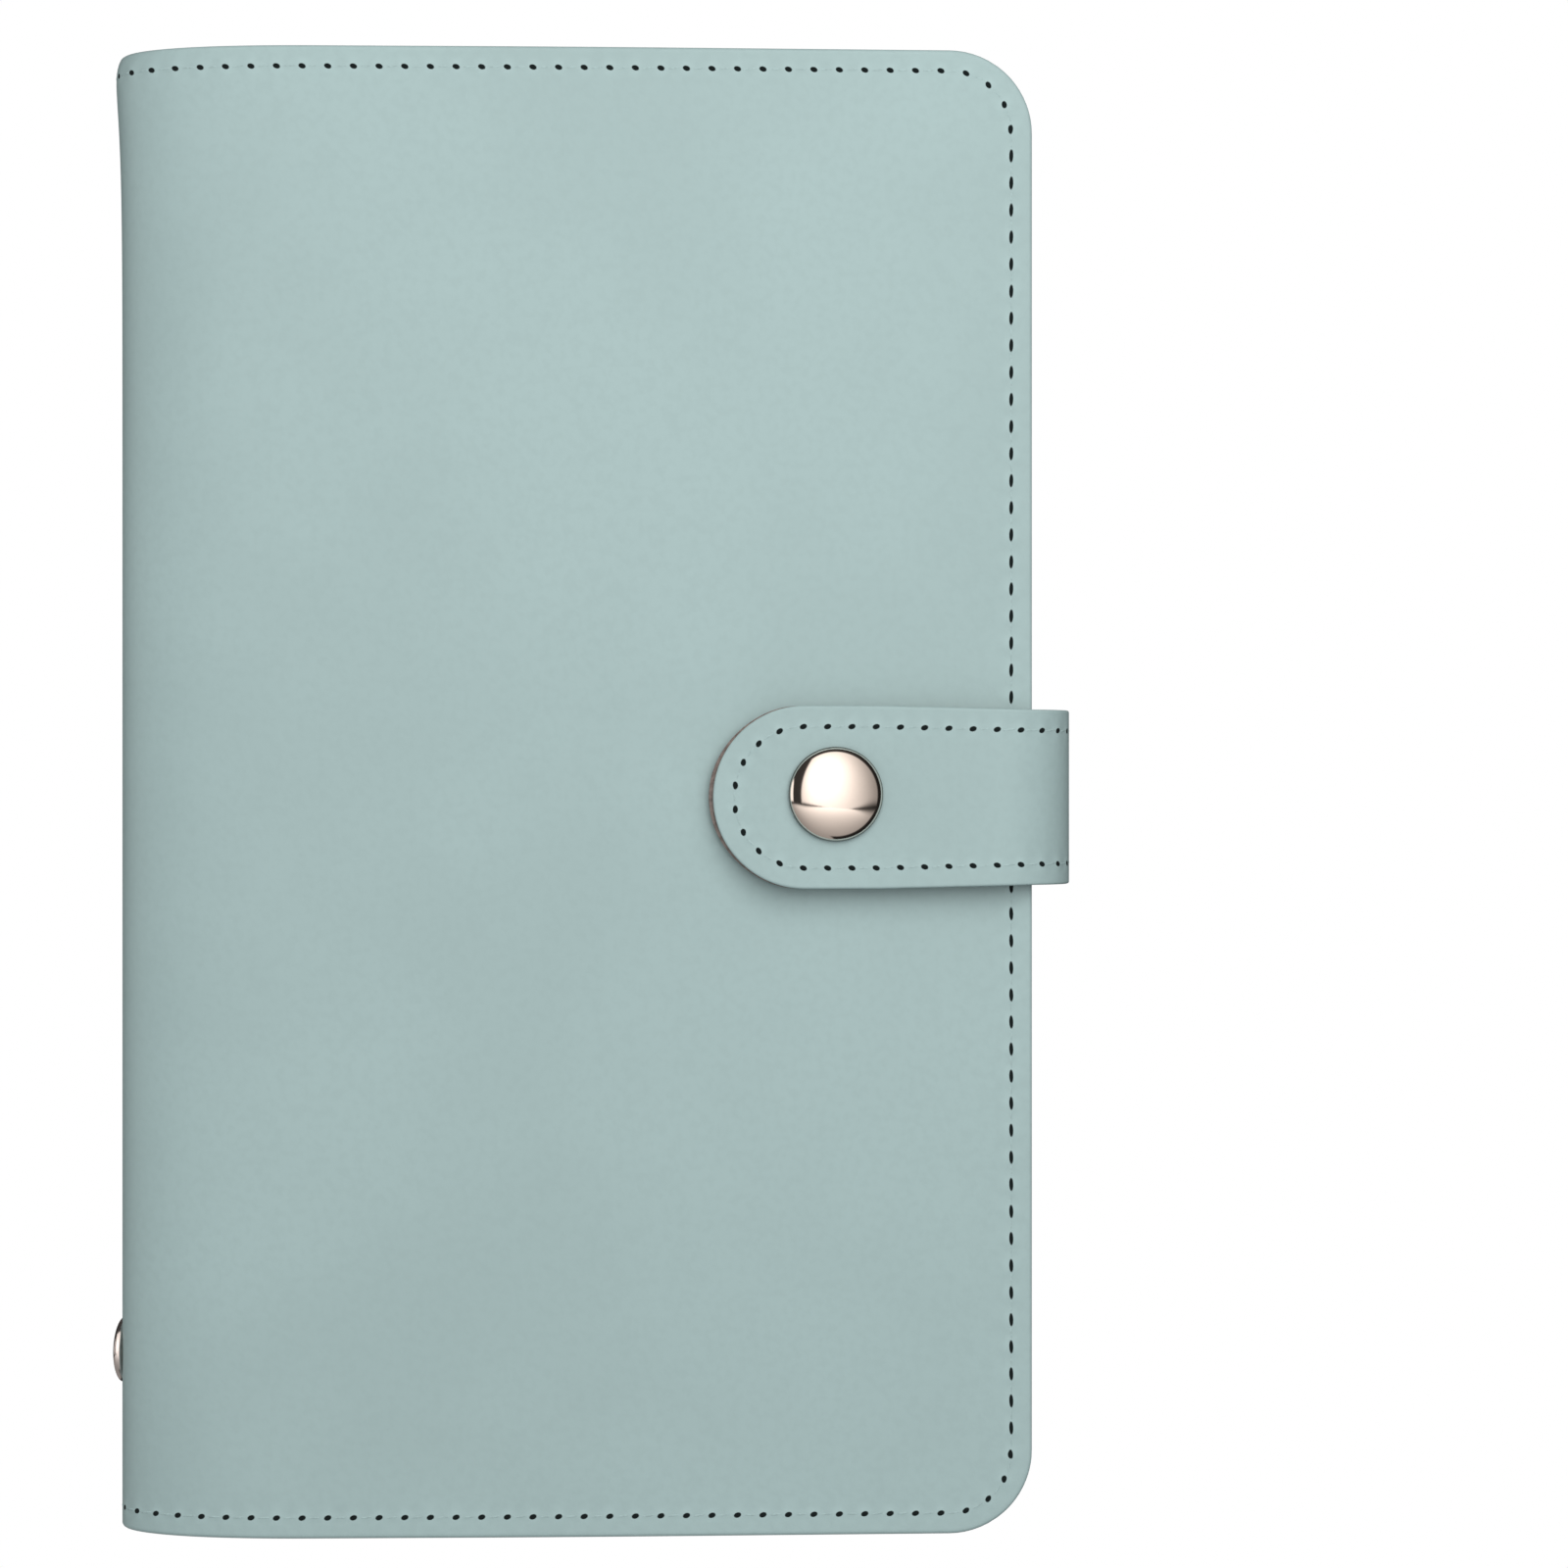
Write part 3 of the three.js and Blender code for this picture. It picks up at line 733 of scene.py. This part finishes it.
def stitch_group():
    """Node group that sets a thread stitch on each point, along its own direction."""
    group = bpy.data.node_groups.new("stitches", "GeometryNodeTree")
    for name, way, kind in (
        ("Points", "INPUT", "Geometry"),
        ("Length", "INPUT", "Float"),
        ("Width", "INPUT", "Float"),
        ("Height", "INPUT", "Float"),
        ("Seed", "INPUT", "Int"),
        ("Thread", "INPUT", "Material"),
        ("Stitches", "OUTPUT", "Geometry"),
    ):
        group.interface.new_socket(name, in_out=way, socket_type="NodeSocket" + kind)
    nodes = Nodes(group)
    points = nodes.node("NodeGroupInput", output="Points")
    bead = nodes.node("GeometryNodeMeshUVSphere", {}, {"Segments": 10, "Rings": 7, "Radius": 0.5}, "Mesh")
    sizes = {axis: points.other(name) for axis, name in zip("XYZ", ("Length", "Width", "Height"))}
    size = nodes.node("ShaderNodeCombineXYZ", {}, sizes, "Vector")
    stitch = nodes.node("GeometryNodeTransform", {}, {"Geometry": bead, "Scale": size}, "Geometry")
    vector = {"data_type": "FLOAT_VECTOR"}
    outward, along = (
        nodes.node("GeometryNodeInputNamedAttribute", vector, {"Name": name}, "Attribute")
        for name in ("outward", "along")
    )
    axes = nodes.node(
        "FunctionNodeAxesToRotation", {"primary_axis": "Z", "secondary_axis": "X"},
        {"Primary Axis": outward, "Secondary Axis": along}, "Rotation",
    )
    sockets = {"Min": STITCH_SLANT_LEAST, "Max": STITCH_SLANT_MOST, "Seed": points.other("Seed")}
    slant = nodes.node("FunctionNodeRandomValue", vector, sockets, "Value")
    tilt = nodes.node("FunctionNodeEulerToRotation", {}, {"Euler": slant}, "Rotation")
    turn = nodes.node(
        "FunctionNodeRotateRotation", {"rotation_space": "LOCAL"},
        {"Rotation": axes, "Rotate By": tilt}, "Rotation",
    )
    sockets = {"Points": points, "Instance": stitch, "Rotation": turn}
    placed = nodes.node("GeometryNodeInstanceOnPoints", {}, sockets, "Instances")
    real = nodes.node("GeometryNodeRealizeInstances", {}, {"Geometry": placed}, "Geometry")
    smooth = nodes.node("GeometryNodeSetShadeSmooth", {}, {"Geometry": real}, "Geometry")
    sockets = {"Geometry": smooth, "Material": points.other("Thread")}
    painted = nodes.node("GeometryNodeSetMaterial", {}, sockets, "Geometry")
    nodes.node("NodeGroupOutput", {}, {"Stitches": painted}, None)
    return group


def stitched(name, group, route, spots, depth, size, thread, middle=0.0):
    """Stitches at (s, y, ds, dy) spots of a route, as one plain mesh."""
    spots = np.asarray(spots, float)
    point = route.point(spots[:, 0]) - route.outward(spots[:, 0]) * depth
    outward = route.outward(spots[:, 0])
    tangent = route.along(spots[:, 0])
    x = point[:, 0] + spine_flare(point[:, 0], spots[:, 1])
    verts = np.stack([x - SHIFT, spots[:, 1] + middle, point[:, 1]], -1) * MM
    out = np.stack([outward[:, 0], 0 * outward[:, 0], outward[:, 1]], -1)
    along = np.stack([tangent[:, 0] * spots[:, 2], spots[:, 3], tangent[:, 1] * spots[:, 2]], -1)
    mesh = bpy.data.meshes.new(name + "_spots")
    mesh.from_pydata(verts.tolist(), [], [])
    for key, directions in (("outward", out), ("along", along)):
        layer = mesh.attributes.new(key, "FLOAT_VECTOR", "POINT")
        layer.data.foreach_set("vector", directions.astype(np.float32).ravel())
    source = bpy.data.objects.new(name + "_spots", mesh)
    bpy.context.scene.collection.objects.link(source)
    modifier = source.modifiers.new("stitches", "NODES")
    modifier.node_group = group
    length, width, height = (side * MM for side in size)
    values = {"Length": length, "Width": width, "Height": height, "Seed": STITCH_SEED, "Thread": thread}
    for item in group.interface.items_tree:
        if item.in_out == "INPUT" and item.name in values:
            modifier[item.identifier] = values[item.name]
    bpy.context.view_layer.update()
    graph = bpy.context.evaluated_depsgraph_get()
    plain = bpy.data.meshes.new_from_object(source.evaluated_get(graph))
    bpy.data.objects.remove(source)
    obj = bpy.data.objects.new(name, plain)
    bpy.context.scene.collection.objects.link(obj)
    return obj


def cover_stitch_spots():
    """Spots between the needle holes, all round the covers' seam."""
    length = COVER.length
    half = COVER_HEIGHT / 2
    straight = half - FORE_CORNER_RADIUS
    radius = FORE_CORNER_RADIUS - COVER_SEAM_INSET
    quarter = radius * math.pi / 2
    fore_count = straight / FORE_PITCH
    side_length = length / 2 - FORE_CORNER_RADIUS
    last = fore_count + (quarter + side_length) / HEAD_PITCH
    spots = []
    for count in np.arange(0, last, 1.0):
        if count <= fore_count:
            spot = (COVER_SEAM_INSET, count * FORE_PITCH, 0.0, 1.0)
        else:
            run = (count - fore_count) * HEAD_PITCH
            if run <= quarter:
                angle = run / radius
                spot = (
                    FORE_CORNER_RADIUS - radius * math.cos(angle),
                    straight + radius * math.sin(angle),
                    math.sin(angle),
                    math.cos(angle),
                )
            else:
                spot = (FORE_CORNER_RADIUS + run - quarter, half - COVER_SEAM_INSET, 1.0, 0.0)
        for end in (1, -1):
            for way in (1, -1):
                if count == 0 and way < 0:
                    continue
                s = spot[0] if end > 0 else length - spot[0]
                spots.append((s, spot[1] * way, spot[2] * end, spot[3] * way))
    return spots


def strap_stitch_spots(low, high):
    """Spots between the needle holes of the strap's seam, between two lengths along the strap."""
    radius = STRAP_WIDTH / 2 - STRAP_SEAM_INSET
    centre_s = tab_length(TIP_CENTRE_X + STRAP_TIP_PROUD)
    quarter = radius * math.pi / 2
    spots = []
    for count in np.arange(0, (quarter + centre_s) / STRAP_PITCH, 1.0):
        run = count * STRAP_PITCH
        if run <= quarter:
            angle = run / radius
            s = centre_s + radius * math.cos(angle)
            spot = (s, radius * math.sin(angle), math.sin(angle), -math.cos(angle))
        else:
            s = centre_s - (run - quarter)
            y = float(strap_half(np.array(s))) - STRAP_SEAM_INSET
            spot = (s, y, 1.0, 0.0)
        if not low <= spot[0] < high:
            continue
        for way in (1, -1):
            if count == 0 and way < 0:
                continue
            spots.append((spot[0], spot[1] * way, spot[2], spot[3] * way))
    return spots


# The object

def cover_stations():
    """Lengths along the covers for the back half and the front half of the mesh."""
    corner_end = FORE_CORNER_RADIUS + CORNER_MARGIN
    corner = spaced(EDGE_INSETS[-1], corner_end, CORNER_STEP)[1:]
    stations = np.concatenate([
        EDGE_INSETS,
        corner,
        spaced(corner_end, SPINE_FROM, BACK_STEP)[1:-1],
        spaced(SPINE_FROM, SPINE_TO, SPINE_STEP),
        spaced(SPINE_TO, COVER.length - corner_end, FRONT_STEP)[1:-1],
        COVER.length - corner[::-1],
        COVER.length - EDGE_INSETS[::-1],
    ])
    clear = np.abs(stations - SPINE_MIDDLE) > 2 * SPLIT_STEP
    behind = stations[clear & (stations < SPINE_MIDDLE)]
    ahead = stations[clear & (stations > SPINE_MIDDLE)]
    back = np.concatenate([behind, [SPINE_MIDDLE - SPLIT_STEP, SPINE_MIDDLE]])
    front = np.concatenate([[SPINE_MIDDLE, SPINE_MIDDLE + SPLIT_STEP], ahead])
    return back, front


def build_covers(looks, group):
    """Skin, lining and thread of the covers, each split along the middle of the spine."""
    lining_top = SKIN_THICKNESS + BOND_GAP
    lining_depths = (lining_top, lining_top + LINING_THICKNESS)
    layers = (
        ("skin", "cover", "cover_leather", (0, SKIN_THICKNESS), SKIN_EDGE_RADIUS),
        ("lining", "lining", "lining", lining_depths, LINING_EDGE_RADIUS),
    )
    spots = np.array(cover_stitch_spots())
    for half, stations in zip(("back", "front"), cover_stations()):
        pieces = []
        for layer, look, slot, depths, edge in layers:
            piece = slab(
                "cover_" + layer + "_" + half, COVER, stations, cover_half, cover_distance, cover_seam,
                depths, edge,
            )
            piece.data.materials.append(looks[look])
            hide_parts(half + "_cover_" + layer)
            pieces.append(piece)
        chosen = spots[(spots[:, 0] > SPINE_MIDDLE) == (half == "front")]
        thread = stitched(
            "cover_thread_" + half, group, COVER, chosen, COVER_STITCH_DEPTH, COVER_STITCH,
            looks["thread"],
        )
        for piece in (*pieces, thread):
            if half == "front":
                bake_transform(piece)
            else:
                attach(piece, "back_and_spine")


def strap_stations(middle, end):
    """Lengths along the strap for the fold and the tab, close together at the bends and the tip."""
    lower = np.concatenate([[0], spaced(0.05, middle, STRAP_STEP)])
    bend_end = middle + STRAP_BEND_RUN
    tip_start = end - STRAP_TIP_RUN
    upper = np.concatenate([
        spaced(middle, bend_end, STRAP_STEP),
        spaced(bend_end, tip_start, TAB_STEP)[1:-1],
        tip_start + STRAP_TIP_RUN * np.sin(np.linspace(0, math.pi / 2, 34)),
    ])
    return lower, np.unique(np.round(upper, 5))


def build_strap(looks, group):
    """The strap's two layers, split in the middle of the fold."""
    middle = STRAP.near(np.abs(STRAP.z - CROWN_HEIGHT / 2), STRAP.x >= COVER_WIDTH)
    tip_s = tab_length(TIP_X)
    fold_bend = ("back_and_spine", "strap_fold", *LOW_BEND)
    tab_bend = ("strap_fold", "strap_tab", *HIGH_BEND)
    face_depths = (0.0, STRAP_OUTER)
    backing_depths = (STRAP_OUTER + BOND_GAP, STRAP_THICKNESS)
    fold_face = ("strap_root", "strap_fold_outer")
    layers = (
        ("face", "strap", "strap_leather", face_depths, STRAP_TIP_PROUD, STRAP_EDGE_RADIUS,
         fold_face, ("strap_tab_outer",)),
        ("backing", "raw", "strap_backing", backing_depths, 0.0, BACKING_EDGE_RADIUS,
         ("strap_fold_lining",), ("strap_tab_lining",)),
    )
    for layer, look, slot, depths, proud, edge, fold_nodes, tab_nodes in layers:
        lower, upper = strap_stations(middle, tip_s - proud - STRAP_TIP_MARGIN)
        for part, stations, nodes, bend in (
            ("fold", lower, fold_nodes, fold_bend),
            ("tab", upper, tab_nodes, tab_bend),
        ):
            piece = slab(
                "strap_" + part + "_" + layer, STRAP, stations,
                partial(strap_half, proud=proud), partial(strap_distance, proud=proud),
                partial(strap_seam, proud=proud), depths, edge, STRAP_OFFSET,
            )
            piece.data.materials.append(looks[look])
            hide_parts(*nodes)
            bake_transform(piece)
    for part, low, high, bend in (
        ("fold", STRAP_SEAM_START, middle, fold_bend),
        ("tab", middle, STRAP.length, tab_bend),
    ):
        thread = stitched(
            "strap_" + part + "_thread", group, STRAP, strap_stitch_spots(low, high), STRAP_STITCH_DEPTH,
            STRAP_STITCH, looks["thread"], STRAP_OFFSET,
        )
        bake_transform(thread)


def build_snap(looks):
    """Polished cap on the strap."""
    normal = Vector((FALL_SLOPE, 0, 1)).normalized()
    base = STRAP_RISE + STRAP_THICKNESS + SNAP_SEAT
    radius = CAP_DIAMETER / 2
    rim = [
        (radius - CAP_EDGE_WIDTH * (1 - math.sin(a)), base + CAP_EDGE_HEIGHT * (1 - math.cos(a)))
        for a in np.linspace(0, math.pi / 2, 6)
    ]
    rise = CAP_RIM - CAP_EDGE_HEIGHT + CAP_DOME
    dome = [
        (radius * math.cos(a), base + CAP_EDGE_HEIGHT + rise * math.sin(a))
        for a in np.linspace(0.12, math.pi / 2 - 0.02, 26)
    ]
    profile = [(0, base), *rim, *dome, (0, base + CAP_RIM + CAP_DOME)]
    place = (SNAP_X, SNAP_OFFSET, float(front_height(SNAP_X)))
    cap = turned("snap_cap_dome", profile, place, normal)
    cap.data.materials.append(looks["rose"])
    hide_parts("snap_cap")
    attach(cap, "strap_tab")


def build_rivets(looks):
    """Domed rivet heads on the spine, one near each end."""
    radius = RIVET_DIAMETER / 2
    rim = RIVET_RIM - RIVET_SINK
    dome = [
        (radius * math.cos(a), rim + RIVET_DOME * math.sin(a))
        for a in np.linspace(0, math.pi / 2 - 0.03, 20)
    ]
    foot = [
        (0, -RIVET_SINK),
        (radius - RIVET_CHAMFER, -RIVET_SINK),
        (radius, -RIVET_SINK + RIVET_CHAMFER),
    ]
    profile = [*foot, *dome, (0, rim + RIVET_DOME)]
    for name, (y, z) in (("tail_rivet", TAIL_RIVET), ("head_rivet", HEAD_RIVET)):
        s = COVER.near(np.abs(COVER.z - z), COVER.x <= SPINE_REACH_FRONT)
        x, height = COVER.point(s)
        across, up = COVER.outward(s)
        rivet = turned(name + "_dome", profile, (x, y, height), (across, 0, up), 64)
        rivet.data.materials.append(looks["nickel"])
        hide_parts(name)
        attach(rivet, "back_and_spine")


def paint_nodes(looks):
    """Materials of the CAD's own nodes that show as they are."""
    for node, look in (
        ("envelope_book", "film"),
        ("spine_binder", "binder"),
        ("snap_socket", "nickel"),
        ("snap_stud", "nickel"),
        ("snap_backing", "nickel"),
    ):
        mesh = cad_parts[node].data
        mesh.materials.clear()
        mesh.materials.append(looks[look])


# Studio

def polished_view(x, y, z):
    """Brightness that polished metal sees in a direction: a softbox over a table, with dark flags."""
    glare = (x + 0.12).bell(0.42) * (y - 0.32).bell(0.5)
    softbox = (x.step(1.0, 0.05) * 0.66 + 0.3 + glare * 1.1) * (x.step(-0.75, -0.3) * 0.25 + 0.75)
    softbox = softbox + x.step(-0.88, -0.95) * 0.5
    table = -0.34 / y.math("MINIMUM", -0.2) * (1 - x * x * 0.7)
    # The table's edge, which lies lower on the right
    above_edge = y + x.math("MAXIMUM", 0.0) * 0.1 + 0.2
    over = above_edge.step(-0.012, 0.012)
    seen = softbox * over + table * (1 - over)
    left_flag = (x - y * y * 0.2).step(-0.56, -0.64) * x.step(-0.96, -0.92) * over
    rim_flag = z.step(0.44, 0.3) * (x + y.math("MINIMUM", 0.0) * 0.9).step(-0.94, -0.86)
    edge_width = x.step(0.25, 0.85) * 0.12 + x.step(0.0, -0.6) * 0.04 + 0.001
    edge = (above_edge / edge_width).bell(1.0)
    dark = left_flag.math("MAXIMUM", rim_flag).math("MAXIMUM", edge)
    return seen * (1 - dark * 0.95)


def build_world():
    """White behind everything, and a soft light that is strongest from above."""
    world = bpy.data.worlds.new("studio")
    bpy.context.scene.world = world
    world.use_nodes = True
    world.node_tree.nodes.clear()
    nodes = Nodes(world.node_tree)
    place = nodes.node("ShaderNodeTexCoord", output="Generated")
    x = nodes.node("ShaderNodeSeparateXYZ", {}, {"Vector": place}, "X")
    y = x.other("Y")
    z = x.other("Z")
    light = z.step(0.0, 0.97) * 0.40 + 0.10
    metal = nodes.node("ShaderNodeLightPath", output="Is Glossy Ray")
    plain = metal.other("Is Camera Ray").math("MAXIMUM", metal.other("Is Transmission Ray"))
    strength = light * (1 - (metal + plain)) + plain + polished_view(x, y, z) * metal
    tint = nodes.mix(metal, nodes.mix(plain, SKY, (1, 1, 1)), CHAMPAGNE)
    back = nodes.node("ShaderNodeBackground", {}, {"Color": tint, "Strength": strength}, "Background")
    nodes.node("ShaderNodeOutputWorld", {}, {"Surface": back}, None)


def build_lights():
    """A broad key light above the head end and a weak one by the spine, placed in millimetres."""
    for name, place, size, power in (
        ("key", (115, 205, 430), 480, 1.84),
        ("fill", (-520, 0, 130), 300, 0.5),
    ):
        data = bpy.data.lights.new(name, "AREA")
        data.size = size * MM
        data.energy = power
        data.color = KEY_COLOR
        light = bpy.data.objects.new(name, data)
        light.location = Vector(place) * MM
        target = Vector((0, 0, CROWN_HEIGHT * MM))
        light.rotation_euler = (light.location - target).to_track_quat("Z", "Y").to_euler()
        bpy.context.scene.collection.objects.link(light)
        light.visible_glossy = False


def build_camera():
    """Camera above the front cover, turned a little to the fore edge, with the photograph's frame."""
    data = bpy.data.cameras.new("camera")
    camera = bpy.data.objects.new("camera", data)
    bpy.context.scene.collection.objects.link(camera)
    bpy.context.scene.camera = camera
    face_z = float(front_height(60))
    place = Vector(row(CAMERA_X, FRAME_CENTRE_Y, face_z + CAMERA_HEIGHT))
    target = Vector(row(FRAME_CENTRE_X, FRAME_CENTRE_Y, face_z))
    back = (place - target).normalized()
    right = Vector((0, 1, 0)).cross(back).normalized()
    turn = Matrix((right, back.cross(right), back)).transposed()
    camera.matrix_world = Matrix.Translation(place) @ turn.to_4x4()
    data.sensor_width = SENSOR
    data.lens = SENSOR * (place - target).length / MM / FRAME_SIZE
    data.clip_start = 0.01


def main():
    fore_stitches = (COVER_HEIGHT / 2 - FORE_CORNER_RADIUS) / FORE_PITCH
    looks = {
        "cover": leather_look("cover_leather", HEAD_PITCH, fore_stitches),
        "strap": leather_look("strap_leather", STRAP_PITCH),
        "lining": lining_look(),
        "raw": raw_edge_look(),
        "thread": thread_look(),
        "film": film_look(),
        "binder": binder_look(),
        # The rose metal's last two numbers bound the painted shade at the cap's rim
        "rose": metal_look("rose_metal", ROSE_METAL, 0.07, (0.96, 0.99)),
        "nickel": metal_look("nickel", NICKEL, 0.16),
    }
    group = stitch_group()
    build_covers(looks, group)
    build_strap(looks, group)
    build_snap(looks)
    build_rivets(looks)
    paint_nodes(looks)
    build_world()
    build_lights()
    build_camera()
    bpy.context.scene.view_settings.view_transform = "Standard"


main()
